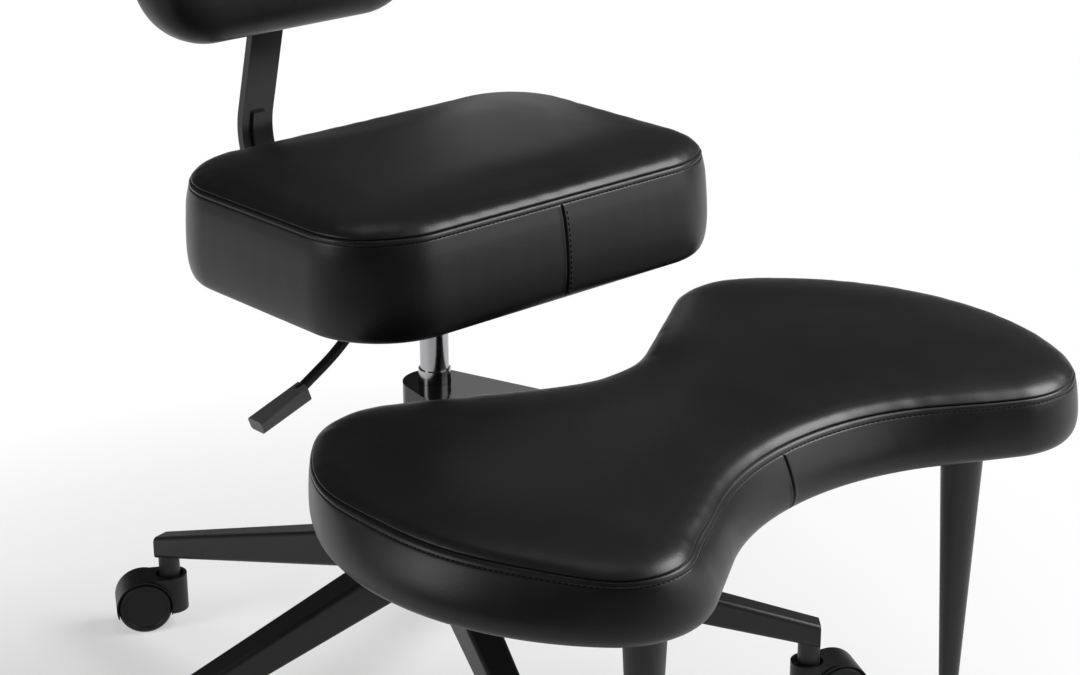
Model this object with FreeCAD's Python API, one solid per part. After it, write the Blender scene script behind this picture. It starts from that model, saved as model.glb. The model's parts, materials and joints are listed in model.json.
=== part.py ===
import FreeCAD, Part
import math
import os

# Cross-legged office chair. Millimetres. The column's axis is Z and the floor is Z = 0.
# The sitter faces -Y, and +X is the sitter's left.

# Wheels and casters
wheel_diameter = 58.0
wheel_width = 12.5
wheel_rim_round = 2.5
wheel_dish = 1.5
wheel_cover = 3.0
wheel_to_web = 0.7
axle_diameter = 8.0
caster_trail = 29.5
hood_web = 15.0
hood_wall = 1.2
hood_over_wheel = 0.8
hood_floor_gap = 19.0
socket_diameter = 37.0
socket_rim_height = 60.0
recess_diameter = 30.0
recess_depth = 8.0
stem_diameter = 11.0
stem_foot = 22.0
stem_grip = 30.0
running_fit = 0.05

# Five-arm base
arm_count = 5
first_arm_angle = 103.0
caster_circle_radius = 374.0
arm_overhang = 10.0
arm_root_width = 36.0
arm_root_low = 164.0
arm_root_high = 209.0
arm_end_width = 25.0
arm_end_low = 79.0
arm_end_high = 104.0
arm_edge_round = 5.0
arm_boss_diameter = 23.0
arm_boss_foot = 58.0
hub_flat_radius = 36.0
hub_low = 145.0
hub_high = 225.0
caster_headings = [150.0, 205.0, 262.0, 333.0, 70.0]

# Gas column
column_diameter = 50.0
column_wall = 2.0
column_foot = 139.0
column_top = 367.5
column_floor = 5.0
bearing_height = 5.0
bearing_diameter = 32.0
rod_diameter = 10.0
rod_shoulder_diameter = 20.0
rod_shoulder_height = 4.0
piston_diameter = 23.6
piston_height = 12.0
piston_low = 315.0
clip_diameter = 16.0
clip_height = 3.0
cylinder_diameter = 28.0
cylinder_bore = 24.0
cylinder_foot = 203.0
lift_travel = 100.0
travel_gap = 1.0
taper_foot = 431.0
taper_top = 473.0
taper_top_diameter = 26.4
guide_length = 40.0
guide_fit = 0.06
cap_diameter = 31.4
cap_height = 17.0
cap_clear = 0.4
release_pin_diameter = 8.0
release_pin_depth = 20.0
release_pin_rise = 6.0
release_pin_press = 7.0

# Swivel bracket of the platform, its bolt rows given inwards from the caster circle
platform_turn = 3.5
swivel_hub_radius = 31.4
swivel_hub_low = 327.0
swivel_hub_high = 371.0
swivel_hub_cap = 3.0
swivel_bush_wall = 3.0
washer_height = 2.0
support_collar_height = 12.0
support_collar_radius = 30.0
bracket_half_angle = 13.8
bracket_height = 27.0
bracket_wall = 4.0
bracket_bolt_rows = [99.0, 49.0]
bracket_end_margin = 20.0
bracket_bolt_spread = 55.0
bracket_boss_diameter = 22.0

# Platform pad, given at its seam, its depths outwards from the caster circle
platform_half_length = 375.0
platform_lobe_front = 176.0
platform_lobe_back = -243.0
platform_lobe_middle = -24.0
platform_waist_front = 88.0
platform_waist_back = -142.0
platform_end_radius = 260.0
platform_corner_radius = 84.0
platform_front_waist_share = 0.9
platform_back_waist_share = 0.56
platform_bottom = 383.0
platform_band = 56.0
platform_crown = 13.0
platform_board_thickness = 15.0
platform_board_inset = 24.0
pad_fit = 0.3

# Platform legs
leg_caster_gap = 141.0
leg_spread_angle = 24.4
leg_top_diameter = 39.5
leg_end_diameter = 16.4
leg_end = 119.0
leg_socket_diameter = 23.0
leg_flange_diameter = 74.0
leg_flange_thickness = 5.0
leg_screw_circle = 58.0
leg_screw_count = 4
leg_caster_headings = [118.0, 62.0]

# Seat
seat_half_width = 228.0
seat_front = -192.0
seat_back = 134.0
seat_corner_radius = 86.0
seat_bottom = 503.0
seat_band = 89.0
seat_crown = 20.0
seat_board_thickness = 14.0
seat_board_inset = 26.0

# Mechanism under the seat
plate_half_width = 75.0
plate_front = -85.0
plate_back = 128.0
plate_thickness = 6.0
housing_half_width = 46.0
housing_front = -60.0
housing_back = 46.0
housing_low = 453.0
housing_wall = 3.0
taper_socket_diameter = 38.0
seat_bolt_x = 62.0
seat_bolt_rows = [-68.0, 88.0]
bolt_diameter = 6.0
bolt_clear = 0.2
bolt_head_diameter = 11.0
bolt_head_height = 4.0
bolt_grip = 10.0

# Lever
lever_rod_diameter = 10.0
lever_pivot_x = -34.0
lever_inner_end = 6.0
lever_over_pin = 0.3
lever_pin_diameter = 6.0
lever_first_bend_x = -58.0
lever_second_bend = (-118.0, 430.5)
lever_rod_end = (-172.0, 398.5)
lever_grip_start = (-156.0, 402.5)
lever_grip_end = (-212.0, 383.0)
lever_slot = 17.0
paddle_start_width = 16.0
paddle_start_height = 17.0
paddle_end_width = 21.0
paddle_end_height = 13.0
paddle_round = 3.0

# Backrest and its bar
bar_width = 38.0
bar_depth = 8.5
bar_wall = 3.0
bar_start = 52.0
bar_rear = 282.0
bar_bend_radius = 75.0
bar_lean = 15.0
bar_under_middle = 72.0
bar_top_bend_radius = 100.0
bar_over_middle = 51.0
bar_rib_width = 15.0
bar_rib_height = 3.5
bar_bolt_rows = [72.0, 96.0, 120.0]
backrest_half_width = 168.0
backrest_middle = 767.5
backrest_height = 171.0
backrest_corner_radius = 78.0
backrest_depth = 56.0
backrest_board_thickness = 10.0
backrest_board_inset = 20.0
backrest_screw_step = 36.0

# Worked-out sizes
wheel_radius = wheel_diameter / 2
stem_radius = stem_diameter / 2
axle_radius = axle_diameter / 2
column_radius = column_diameter / 2
column_bore_radius = column_radius - column_wall
cylinder_radius = cylinder_diameter / 2
rod_radius = rod_diameter / 2
wheel_inner_face = hood_web / 2 + wheel_to_web
wheel_outer_face = wheel_inner_face + wheel_width
axle_reach = wheel_outer_face - wheel_dish - wheel_cover
hood_inner_radius = wheel_radius + hood_over_wheel
hood_outer_radius = hood_inner_radius + hood_wall
piston_high = piston_low + piston_height
bore_low = piston_low - travel_gap - lift_travel
bore_high = piston_high + travel_gap
plate_low = seat_bottom - plate_thickness
platform_seam = platform_bottom + platform_band
seat_seam = seat_bottom + seat_band
bracket_reach = caster_circle_radius - min(bracket_bolt_rows) + bracket_end_margin
lobe_front_y = -(caster_circle_radius + platform_lobe_front)
lobe_back_y = -(caster_circle_radius + platform_lobe_back)
lobe_middle_y = -(caster_circle_radius + platform_lobe_middle)
waist_front_y = -(caster_circle_radius + platform_waist_front)
waist_back_y = -(caster_circle_radius + platform_waist_back)
leg_circle_radius = caster_circle_radius + leg_caster_gap
leg_x = leg_circle_radius * math.sin(math.radians(leg_spread_angle))
leg_y = -leg_circle_radius * math.cos(math.radians(leg_spread_angle))
backrest_low = backrest_middle - backrest_height / 2
backrest_high = backrest_middle + backrest_height / 2
backrest_screw_rows = [backrest_middle + step * backrest_screw_step for step in (-1, 0, 1)]
bar_top = backrest_middle + bar_over_middle
bar_lean_top = backrest_middle - bar_under_middle
bar_level = plate_low - bar_depth / 2
release_pin_top = taper_top + release_pin_rise
lever_pivot_z = release_pin_top + lever_over_pin + lever_rod_diameter / 2
Z_AXIS = FreeCAD.Vector(0, 0, 1)


def vector(x, y, z):
    return FreeCAD.Vector(x, y, z)


def cylinder(diameter, low, high, x=0.0, y=0.0):
    return Part.makeCylinder(diameter / 2, high - low, vector(x, y, low))


def ring(outer, inner, low, high, x=0.0, y=0.0):
    return cylinder(outer, low, high, x, y).cut(cylinder(inner, low - 1, high + 1, x, y))


def block(x_low, x_high, y_low, y_high, z_low, z_high):
    corner = vector(x_low, y_low, z_low)
    return Part.makeBox(x_high - x_low, y_high - y_low, z_high - z_low, corner)


def prism(points, direction):
    face = Part.Face(Part.makePolygon(points + [points[0]]))
    return face.extrude(direction)


def polar(radius, angle):
    turn = math.radians(angle)
    return radius * math.cos(turn), radius * math.sin(turn)


def turned(shape, angle):
    copy = shape.copy()
    copy.rotate(vector(0, 0, 0), Z_AXIS, angle)
    return copy


def moved(shape, x, y):
    copy = shape.copy()
    copy.translate(vector(x, y, 0))
    return copy


def arc_edge(centre, radius, start, end, place):
    points = []
    for angle in (start, (start + end) / 2, end):
        x, y = polar(radius, angle)
        points.append(place(centre[0] + x, centre[1] + y))
    return Part.Arc(*points).toShape()


def line_edge(start, end):
    return Part.LineSegment(start, end).toShape()


def closed_loop(arcs):
    # Joins each arc to the next by a straight edge where they don't meet already.
    edges = []
    for index, arc in enumerate(arcs):
        edges.append(arc)
        here = arc.valueAt(arc.LastParameter)
        following = arcs[(index + 1) % len(arcs)]
        there = following.valueAt(following.FirstParameter)
        if here.distanceToPoint(there) > 1e-6:
            edges.append(line_edge(here, there))
    return Part.Wire(edges)


def rounded_loop(low, high, radius, place):
    # A rectangle with quarter-round corners in any plane; place turns (a, b) into a point.
    left, right = low[0] + radius, high[0] - radius
    near, far = low[1] + radius, high[1] - radius
    corners = [((right, far), 0), ((left, far), 90), ((left, near), 180), ((right, near), 270)]
    arcs = [arc_edge(centre, radius, start, start + 90, place) for centre, start in corners]
    return closed_loop(arcs)


def plan_at(z):
    return lambda x, y: vector(x, y, z)


def save(name, *shapes):
    shape = shapes[0] if len(shapes) == 1 else Part.makeCompound(list(shapes))
    for solid in shapes:
        assert solid.isValid() and len(solid.Solids) == 1, name
    shape.exportStep(os.path.join("parts", name + ".step"))


# Casters

def caster_hood():
    # Local frame: the stem on Z, the axle behind it along -X, both over the floor.
    axle = vector(-caster_trail, 0, wheel_radius)
    along = vector(0, 1, 0)

    def drum(radius, low, high):
        return Part.makeCylinder(radius, high - low, axle + along * low, along)

    arch = drum(hood_outer_radius, -wheel_outer_face, wheel_outer_face)
    socket = cylinder(socket_diameter, hood_floor_gap, socket_rim_height)
    bridge = block(-caster_trail, 0, -socket_diameter / 2, socket_diameter / 2,
                   wheel_radius, socket_rim_height)
    hood = arch.fuse([socket, bridge])
    reach = 2 * (caster_trail + hood_outer_radius)
    hood = hood.cut(block(-reach, reach, -reach, reach, -reach, hood_floor_gap))
    for side in (-1, 1):
        room = sorted((side * hood_web / 2, side * (wheel_outer_face + 1)))
        hood = hood.cut(drum(hood_inner_radius, room[0], room[1]))
    rim_floor = socket_rim_height - recess_depth
    hood = hood.cut(cylinder(recess_diameter, rim_floor, socket_rim_height + hood_outer_radius))
    hood = hood.cut(cylinder(stem_diameter + 2 * running_fit, stem_foot, socket_rim_height))
    hood = hood.cut(drum(axle_radius + running_fit, -wheel_outer_face, wheel_outer_face))
    return hood.removeSplitter()


def caster_wheel(side):
    # A tyre with rounded edges and a shallow dished face that closes over the axle's end.
    inner, outer = wheel_inner_face, wheel_outer_face
    rim = wheel_radius - wheel_rim_round
    dish = rim - wheel_rim_round
    profile = [(axle_radius, inner), (rim, inner), (wheel_radius, inner + wheel_rim_round),
               (wheel_radius, outer - wheel_rim_round), (rim, outer), (dish, outer),
               (dish - wheel_dish, outer - wheel_dish), (0, outer - wheel_dish),
               (0, axle_reach), (axle_radius, axle_reach)]
    points = [vector(radius, 0, along) for radius, along in profile]
    face = Part.Face(Part.makePolygon(points + [points[0]]))
    wheel = face.revolve(vector(0, 0, 0), Z_AXIS, 360)
    wheel.rotate(vector(0, 0, 0), vector(1, 0, 0), -90 * side)
    wheel.translate(vector(-caster_trail, 0, wheel_radius))
    return wheel


def caster_axle():
    start = vector(-caster_trail, -axle_reach, wheel_radius)
    return Part.makeCylinder(axle_radius, 2 * axle_reach, start, vector(0, 1, 0))


def caster_stem(top):
    return cylinder(stem_diameter, stem_foot, top)


def save_caster(name, x, y, heading):
    def place(shape):
        return moved(turned(shape, heading - 180), x, y)

    save(name + "_hood", place(caster_hood()))
    save(name + "_wheels", place(caster_wheel(1)), place(caster_wheel(-1)))
    save(name + "_axle", place(caster_axle()))


# Base

def base_hub():
    corner = hub_flat_radius / math.cos(math.radians(180 / arm_count))
    points = []
    for index in range(arm_count):
        x, y = polar(corner, first_arm_angle + 180 / arm_count + index * 360 / arm_count)
        points.append(vector(x, y, hub_low))
    body = prism(points, vector(0, 0, hub_high - hub_low))
    return body.cut(cylinder(column_diameter, hub_low - 1, hub_high + 1))


def base_arm():
    # Along +X: a tapered box from a flat of the hub to past the caster stem.
    def section(along, width, low, high):
        def place(a, b):
            return vector(along, a, b)
        return rounded_loop((-width / 2, low), (width / 2, high), arm_edge_round, place)

    root = section(hub_flat_radius, arm_root_width, arm_root_low, arm_root_high)
    end = section(caster_circle_radius + arm_overhang, arm_end_width, arm_end_low, arm_end_high)
    beam = Part.makeLoft([root, end], True, True)
    boss_top = (arm_end_low + arm_end_high) / 2
    arm = beam.fuse(cylinder(arm_boss_diameter, arm_boss_foot, boss_top, caster_circle_radius))
    bore = cylinder(stem_diameter, arm_boss_foot - 1, arm_boss_foot + stem_grip, caster_circle_radius)
    return arm.cut(bore).removeSplitter()


def arm_angle(index):
    return first_arm_angle + index * 360 / arm_count


def build_base():
    save("base_hub", base_hub())
    stems = []
    for index in range(arm_count):
        save("base_arm_%d" % (index + 1), turned(base_arm(), arm_angle(index)))
        x, y = polar(caster_circle_radius, arm_angle(index))
        stems.append(moved(caster_stem(arm_boss_foot + stem_grip), x, y))
        save_caster("caster_%d" % (index + 1), x, y, caster_headings[index])
    save("caster_stems", *stems)


# Column

def build_column():
    floor_top = column_foot + column_floor
    tube = cylinder(column_diameter, column_foot, column_top)
    tube = tube.cut(cylinder(2 * column_bore_radius, floor_top, column_top + 1))
    tube = tube.cut(cylinder(rod_diameter + 4 * cap_clear, column_foot - 1, floor_top + 1))
    save("column_tube", tube)

    bearing_top = floor_top + bearing_height
    save("rod_bearing", ring(bearing_diameter, rod_diameter + 4 * cap_clear, floor_top, bearing_top))

    rod = cylinder(rod_diameter, column_foot - 2 * clip_height, piston_high)
    shoulder = cylinder(rod_shoulder_diameter, bearing_top, bearing_top + rod_shoulder_height)
    piston = cylinder(piston_diameter, piston_low, piston_high)
    save("piston_rod", rod.fuse([shoulder, piston]).removeSplitter())
    save("rod_clip", ring(clip_diameter, rod_diameter, column_foot - clip_height, column_foot))

    guide_bore = cylinder_diameter + 2 * guide_fit
    save("guide_bush", ring(2 * column_bore_radius, guide_bore, column_top - guide_length, column_top))
    cap_bore = cylinder_diameter + 2 * cap_clear
    save("column_cap", ring(cap_diameter, cap_bore, column_top, column_top + cap_height))

    collar_top = swivel_hub_low - washer_height
    collar_low = collar_top - support_collar_height
    save("support_collar", ring(2 * support_collar_radius, column_diameter, collar_low, collar_top))
    save("thrust_washer", ring(2 * support_collar_radius, column_diameter, collar_top, swivel_hub_low))


def gas_cylinder():
    body = cylinder(cylinder_diameter, cylinder_foot, taper_foot)
    taper = Part.makeCone(cylinder_radius, taper_top_diameter / 2, taper_top - taper_foot,
                          vector(0, 0, taper_foot))
    body = body.fuse(taper)
    body = body.cut(cylinder(cylinder_bore, bore_low, bore_high))
    body = body.cut(cylinder(rod_diameter + 2 * guide_fit, cylinder_foot - 1, bore_low + 1))
    pin_hole = release_pin_diameter + 2 * guide_fit
    body = body.cut(cylinder(pin_hole, taper_top - release_pin_depth - release_pin_press, taper_top + 1))
    return body.removeSplitter()


# Platform

def platform_corners():
    corner = platform_corner_radius
    end_x = platform_half_length - platform_end_radius
    reach = platform_end_radius - corner
    front_y = lobe_front_y + corner
    back_y = lobe_back_y - corner
    front_x = end_x + math.sqrt(reach ** 2 - (front_y - lobe_middle_y) ** 2)
    back_x = end_x + math.sqrt(reach ** 2 - (back_y - lobe_middle_y) ** 2)
    return (end_x, lobe_middle_y), (front_x, front_y), (back_x, back_y)


def waist_arc(depth, corner, side, share):
    # The centre and radius of a waist's arc, and the angle at which it leaves for the corner.
    # At a share of 1 it would run into the corner arcs with no straight edge between them.
    rise = side * (corner[1] - depth)
    reach = corner[0] ** 2 + rise ** 2 - platform_corner_radius ** 2
    radius = share * reach / (2 * (platform_corner_radius + rise))
    x, y = corner[0], corner[1] - depth - side * radius
    span = math.acos((radius + platform_corner_radius) / math.hypot(x, y))
    return (0, depth + side * radius), radius, math.degrees(math.atan2(y, x) - side * span)


def bow_tie(inset, z):
    # The pad's outline: two round-cornered lobes joined by a waist, drawn in by inset.
    place = plan_at(z)
    end, front, back = platform_corners()
    front_waist, front_radius, front_angle = waist_arc(waist_front_y, front, -1,
                                                       platform_front_waist_share)
    back_waist, back_radius, back_angle = waist_arc(waist_back_y, back, 1,
                                                    platform_back_waist_share)
    front_turn = math.degrees(math.atan2(front[1] - end[1], front[0] - end[0]))
    back_turn = math.degrees(math.atan2(back[1] - end[1], back[0] - end[0]))
    corner = platform_corner_radius - inset
    outer = platform_end_radius - inset

    def mirror(centre):
        return (-centre[0], centre[1])

    arcs = [
        arc_edge(front_waist, front_radius + inset, 180 - front_angle, front_angle, place),
        arc_edge(front, corner, front_angle - 180, front_turn, place),
        arc_edge(end, outer, front_turn, back_turn, place),
        arc_edge(back, corner, back_turn, back_angle + 180, place),
        arc_edge(back_waist, back_radius + inset, back_angle, -180 - back_angle, place),
        arc_edge(mirror(back), corner, -back_angle, 180 - back_turn, place),
        arc_edge(mirror(end), outer, 180 - back_turn, 180 - front_turn, place),
        arc_edge(mirror(front), corner, 180 - front_turn, 360 - front_angle, place),
    ]
    return closed_loop(arcs)


def slab(loop, thickness):
    return Part.Face(loop).extrude(vector(0, 0, thickness))


def platform_levels():
    # Height and draw-in of each section: rolled lower edge, full band, seam, crown.
    band = platform_seam - platform_bottom
    return [
        (platform_bottom, 13.0), (platform_bottom + 0.07 * band, 6.0),
        (platform_bottom + 0.2 * band, 1.5), (platform_bottom + 0.5 * band, 0.0),
        (platform_bottom + 0.85 * band, 0.5), (platform_seam, 2.0),
        (platform_seam + 0.35 * platform_crown, 8.0), (platform_seam + 0.65 * platform_crown, 18.0),
        (platform_seam + 0.88 * platform_crown, 34.0), (platform_seam + platform_crown, 58.0),
    ]


def leg_places():
    return [("left", leg_x), ("right", -leg_x)]


def leg_screw_places(x):
    places = []
    for index in range(leg_screw_count):
        dx, dy = polar(leg_screw_circle / 2, 45 + index * 360 / leg_screw_count)
        places.append((x + dx, leg_y + dy))
    return places


def bracket_bolt_places():
    rows = [row - caster_circle_radius for row in bracket_bolt_rows]
    return [(side * bracket_bolt_spread, y) for y in rows for side in (-1, 1)]


def screw(x, y, seat, grip, diameter=bolt_diameter):
    # A round-headed screw that enters upwards, its head under the face at seat.
    head = cylinder(bolt_head_diameter, seat - bolt_head_height, seat, x, y)
    return head.fuse(cylinder(diameter, seat - 1, seat + grip, x, y)).removeSplitter()


def hole(x, y, low, high):
    return cylinder(bolt_diameter + 2 * bolt_clear, low, high, x, y)


def bracket_arm():
    # A fan-shaped channel, open below, tangent to the hub and widening under the pad.
    top = swivel_hub_high
    slope = math.radians(bracket_half_angle)

    def fan(radius, z):
        touch_x, touch_y = radius * math.cos(slope), radius * math.sin(slope)
        far = bracket_reach - (swivel_hub_radius - radius)
        far_x = touch_x + (far + touch_y) * math.tan(slope)
        return [vector(-touch_x, touch_y, z), vector(-far_x, -far, z),
                vector(far_x, -far, z), vector(touch_x, touch_y, z)]

    low = top - bracket_height
    body = prism(fan(swivel_hub_radius, low), vector(0, 0, bracket_height))
    room = prism(fan(swivel_hub_radius - bracket_wall, low - 1),
                 vector(0, 0, bracket_height - bracket_wall + 1))
    body = body.cut(room)
    for x, y in bracket_bolt_places():
        body = body.fuse(cylinder(bracket_boss_diameter, top - 1, platform_bottom, x, y))
        body = body.cut(hole(x, y, low, platform_bottom + 1))
    body = body.cut(cylinder(2 * swivel_hub_radius, low - 1, top + 1))
    return body.removeSplitter()


def swivel_hub():
    bush_radius = column_radius + swivel_bush_wall
    low = swivel_hub_low
    shell = cylinder(2 * swivel_hub_radius, low, swivel_hub_high)
    shell = shell.cut(cylinder(2 * bush_radius, low - 1, swivel_hub_high - swivel_hub_cap))
    return shell.cut(cylinder(cap_diameter + 2 * cap_clear, low, swivel_hub_high + 1))


def platform_leg(x):
    flange_low = platform_bottom - leg_flange_thickness
    flange = cylinder(leg_flange_diameter, flange_low, platform_bottom, x, leg_y)
    cone = Part.makeCone(leg_end_diameter / 2, leg_top_diameter / 2, flange_low - leg_end,
                         vector(x, leg_y, leg_end))
    socket = cylinder(leg_socket_diameter, arm_boss_foot, leg_end, x, leg_y)
    leg = cone.fuse([flange, socket])
    leg = leg.cut(cylinder(stem_diameter, arm_boss_foot - 1, arm_boss_foot + stem_grip, x, leg_y))
    for place in leg_screw_places(x):
        leg = leg.cut(hole(place[0], place[1], flange_low - 1, platform_bottom + 1))
    return leg.removeSplitter()


def build_platform():
    def keep(name, *shapes):
        save(name, *[turned(shape, platform_turn) for shape in shapes])

    board_top = platform_bottom + platform_board_thickness
    board = slab(bow_tie(platform_board_inset, platform_bottom), platform_board_thickness)
    pad = Part.makeLoft([bow_tie(inset, z) for z, inset in platform_levels()], True, True)
    pocket_inset = platform_board_inset - pad_fit
    pad = pad.cut(slab(bow_tie(pocket_inset, platform_bottom - 1), platform_board_thickness + 1 + pad_fit))
    leg_screws = []
    for side, x in leg_places():
        keep("leg_" + side, platform_leg(x))
        for place in leg_screw_places(x):
            leg_screws.append(screw(place[0], place[1], platform_bottom - leg_flange_thickness,
                                    leg_flange_thickness + bolt_grip))
            board = board.cut(hole(place[0], place[1], platform_bottom - 1, board_top - 2))
    bolts = []
    for x, y in bracket_bolt_places():
        seat = swivel_hub_high - bracket_wall
        bolts.append(screw(x, y, seat, platform_bottom - seat + bolt_grip))
        board = board.cut(hole(x, y, platform_bottom - 1, board_top - 2))
    keep("platform_board", board)
    keep("platform_cushion", pad)
    keep("leg_screws", *leg_screws)
    keep("bracket_bolts", *bolts)
    keep("bracket_arm", bracket_arm())
    keep("swivel_hub", swivel_hub())
    bush_outer = column_diameter + 2 * swivel_bush_wall
    keep("hub_bush", ring(bush_outer, column_diameter + 2 * guide_fit, swivel_hub_low,
                          swivel_hub_high - swivel_hub_cap))
    stems = []
    for index, (side, x) in enumerate(leg_places()):
        stems.append(moved(caster_stem(arm_boss_foot + stem_grip), x, leg_y))
        place = turned(Part.Vertex(x, leg_y, 0), platform_turn).Point
        save_caster("leg_caster_" + side, place.x, place.y, leg_caster_headings[index])
    keep("leg_stems", *stems)


# Seat

def seat_levels():
    # Height and draw-in of each section: rolled lower edge, band, seam, crown.
    band = seat_seam - seat_bottom
    return [
        (seat_bottom, 11.0), (seat_bottom + 0.06 * band, 4.5), (seat_bottom + 0.16 * band, 1.2),
        (seat_bottom + 0.4 * band, 0.0), (seat_bottom + 0.75 * band, 0.8), (seat_seam, 3.5),
        (seat_seam + 0.35 * seat_crown, 9.0), (seat_seam + 0.65 * seat_crown, 19.0),
        (seat_seam + 0.88 * seat_crown, 37.0), (seat_seam + seat_crown, 70.0),
    ]


def seat_loop(inset, z):
    low = (-seat_half_width + inset, seat_front + inset)
    high = (seat_half_width - inset, seat_back - inset)
    return rounded_loop(low, high, seat_corner_radius - inset, plan_at(z))


def seat_bolt_places():
    return [(side * seat_bolt_x, row) for row in seat_bolt_rows for side in (-1, 1)]


def seat_mechanism():
    # A mounting plate with a boxed housing under it and a tapered socket for the column.
    top = seat_bottom
    plate = block(-plate_half_width, plate_half_width, plate_front, plate_back, plate_low, top)
    for x, y in seat_bolt_places() + [(0.0, row) for row in bar_bolt_rows]:
        plate = plate.cut(hole(x, y, plate_low - 1, top + 1))
    wall = housing_wall
    outer = block(-housing_half_width, housing_half_width, housing_front, housing_back,
                  housing_low, plate_low)
    room = block(-housing_half_width + wall, housing_half_width - wall, housing_front + wall,
                 housing_back - wall, housing_low + wall, plate_low)
    outer = outer.cut(room)
    socket = cylinder(taper_socket_diameter, taper_foot - wall, taper_top - release_pin_rise)
    shape = plate.fuse([outer, socket])
    for side in (-1, 1):
        y_low, y_high = sorted((side * lever_slot / 2, side * (lever_slot / 2 + wall)))
        cheek = block(lever_pivot_x - lever_rod_diameter, lever_pivot_x + lever_rod_diameter,
                      y_low, y_high, lever_pivot_z - lever_rod_diameter, plate_low)
        shape = shape.fuse(cheek)
    slot = block(-housing_half_width - 1, lever_pivot_x + lever_rod_diameter, -lever_slot / 2,
                 lever_slot / 2, housing_low + 2 * wall, plate_low)
    shape = shape.cut(slot)
    pin = Part.makeCylinder(lever_pin_diameter / 2, lever_slot + 4 * wall,
                            vector(lever_pivot_x, -lever_slot / 2 - 2 * wall, lever_pivot_z),
                            vector(0, 1, 0))
    shape = shape.cut(pin)
    grip = Part.makeCone(cylinder_radius, taper_top_diameter / 2, taper_top - taper_foot,
                         vector(0, 0, taper_foot))
    shape = shape.cut(grip.fuse(cylinder(cylinder_diameter, taper_foot - 2 * wall, taper_foot)))
    return shape.removeSplitter()


def lever_points():
    level = lever_pivot_z
    return [(lever_inner_end, level), (lever_first_bend_x, level), lever_second_bend, lever_rod_end]


def build_seat():
    save("gas_cylinder", gas_cylinder())
    save("release_pin", cylinder(release_pin_diameter, taper_top - release_pin_depth, release_pin_top))
    board_top = seat_bottom + seat_board_thickness
    board = slab(seat_loop(seat_board_inset, seat_bottom), seat_board_thickness)
    pad = Part.makeLoft([seat_loop(inset, z) for z, inset in seat_levels()], True, True)
    pocket = slab(seat_loop(seat_board_inset - pad_fit, seat_bottom - 1), seat_board_thickness + 1 + pad_fit)
    bolts = []
    for x, y in seat_bolt_places():
        bolts.append(screw(x, y, plate_low, plate_thickness + bolt_grip))
        board = board.cut(hole(x, y, seat_bottom - 1, board_top - 2))
    save("seat_mechanism", seat_mechanism())
    save("seat_board", board)
    save("seat_cushion", pad.cut(pocket))
    save("seat_bolts", *bolts)


# Backrest

def bar_path(offset):
    # The bar's line in the YZ plane, offset to its outer side: under the seat, round and up.
    lean = math.radians(bar_lean)
    radius = bar_bend_radius + offset
    centre = (bar_rear - bar_bend_radius, bar_level + bar_bend_radius)
    start = (bar_start, centre[1] - radius)
    foot = (centre[0], centre[1] - radius)
    lean_foot = (centre[0] + radius * math.cos(lean), centre[1] + radius * math.sin(lean))
    rise = bar_lean_top - centre[1] - bar_bend_radius * math.sin(lean)
    line = (-math.tan(lean) * rise, rise)
    lean_top = (lean_foot[0] + line[0], lean_foot[1] + line[1])
    turn = bar_top_bend_radius - offset
    bend = (lean_top[0] + turn * math.cos(lean), lean_top[1] + turn * math.sin(lean))
    upright = (bend[0] - turn, bend[1])
    return start, foot, centre, radius, lean_foot, lean_top, bend, turn, upright


def bar_edges(offset, x):
    def place(y, z):
        return vector(x, y, z)

    start, foot, centre, radius, lean_foot, lean_top, bend, turn, upright = bar_path(offset)
    return [
        line_edge(place(*start), place(*foot)),
        arc_edge(centre, radius, -90, bar_lean, place),
        line_edge(place(*lean_foot), place(*lean_top)),
        arc_edge(bend, turn, 180 + bar_lean, 180, place),
        line_edge(place(*upright), place(upright[0], bar_top)),
    ]


def bar_band(inner, outer, width):
    # The strip of the bar's side view between two offsets, given a width along X.
    x = -width / 2
    near = bar_edges(inner, x)
    far = bar_edges(outer, x)
    ends = [line_edge(near[0].valueAt(near[0].FirstParameter), far[0].valueAt(far[0].FirstParameter)),
            line_edge(near[-1].valueAt(near[-1].LastParameter), far[-1].valueAt(far[-1].LastParameter))]
    wire = Part.Wire(Part.__sortEdges__(near + far + ends))
    return Part.Face(wire).extrude(vector(width, 0, 0))


def bar_rib():
    # A pressed stiffening rib along the inside of the bend.
    x = -bar_rib_width / 2
    inner = -bar_depth / 2

    def place(y, z):
        return vector(x, y, z)

    centre = (bar_rear - bar_bend_radius, bar_level + bar_bend_radius)
    outline = [arc_edge(centre, bar_bend_radius + inner, -70, bar_lean, place)]
    chord_end = polar(bar_bend_radius + inner - bar_rib_height, bar_lean)
    chord_start = polar(bar_bend_radius + inner - bar_rib_height, -70)
    outline.append(line_edge(outline[0].valueAt(outline[0].LastParameter),
                             place(centre[0] + chord_end[0], centre[1] + chord_end[1])))
    outline.append(arc_edge(centre, bar_bend_radius + inner - bar_rib_height, bar_lean, -70, place))
    outline.append(line_edge(place(centre[0] + chord_start[0], centre[1] + chord_start[1]),
                             outline[0].valueAt(outline[0].FirstParameter)))
    return Part.Face(Part.Wire(outline)).extrude(vector(bar_rib_width, 0, 0))


def upright_face():
    # The front face of the bar's upright end, which the backrest is screwed to.
    return bar_path(0)[8][0] - bar_depth / 2


def back_bar():
    half = bar_depth / 2
    bar = bar_band(-half, half, bar_width)
    bar = bar.cut(bar_band(-half + bar_wall, half + 1, bar_width - 2 * bar_wall))
    bar = bar.fuse(bar_rib())
    for row in bar_bolt_rows:
        bar = bar.cut(hole(0, row, bar_level - half - 1, bar_level + half + 1))
    for row in backrest_screw_rows:
        start = vector(0, upright_face() - 1, row)
        bar = bar.cut(Part.makeCylinder(bolt_diameter / 2 + bolt_clear, bar_wall + 2, start, vector(0, 1, 0)))
    return bar.removeSplitter()


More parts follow.
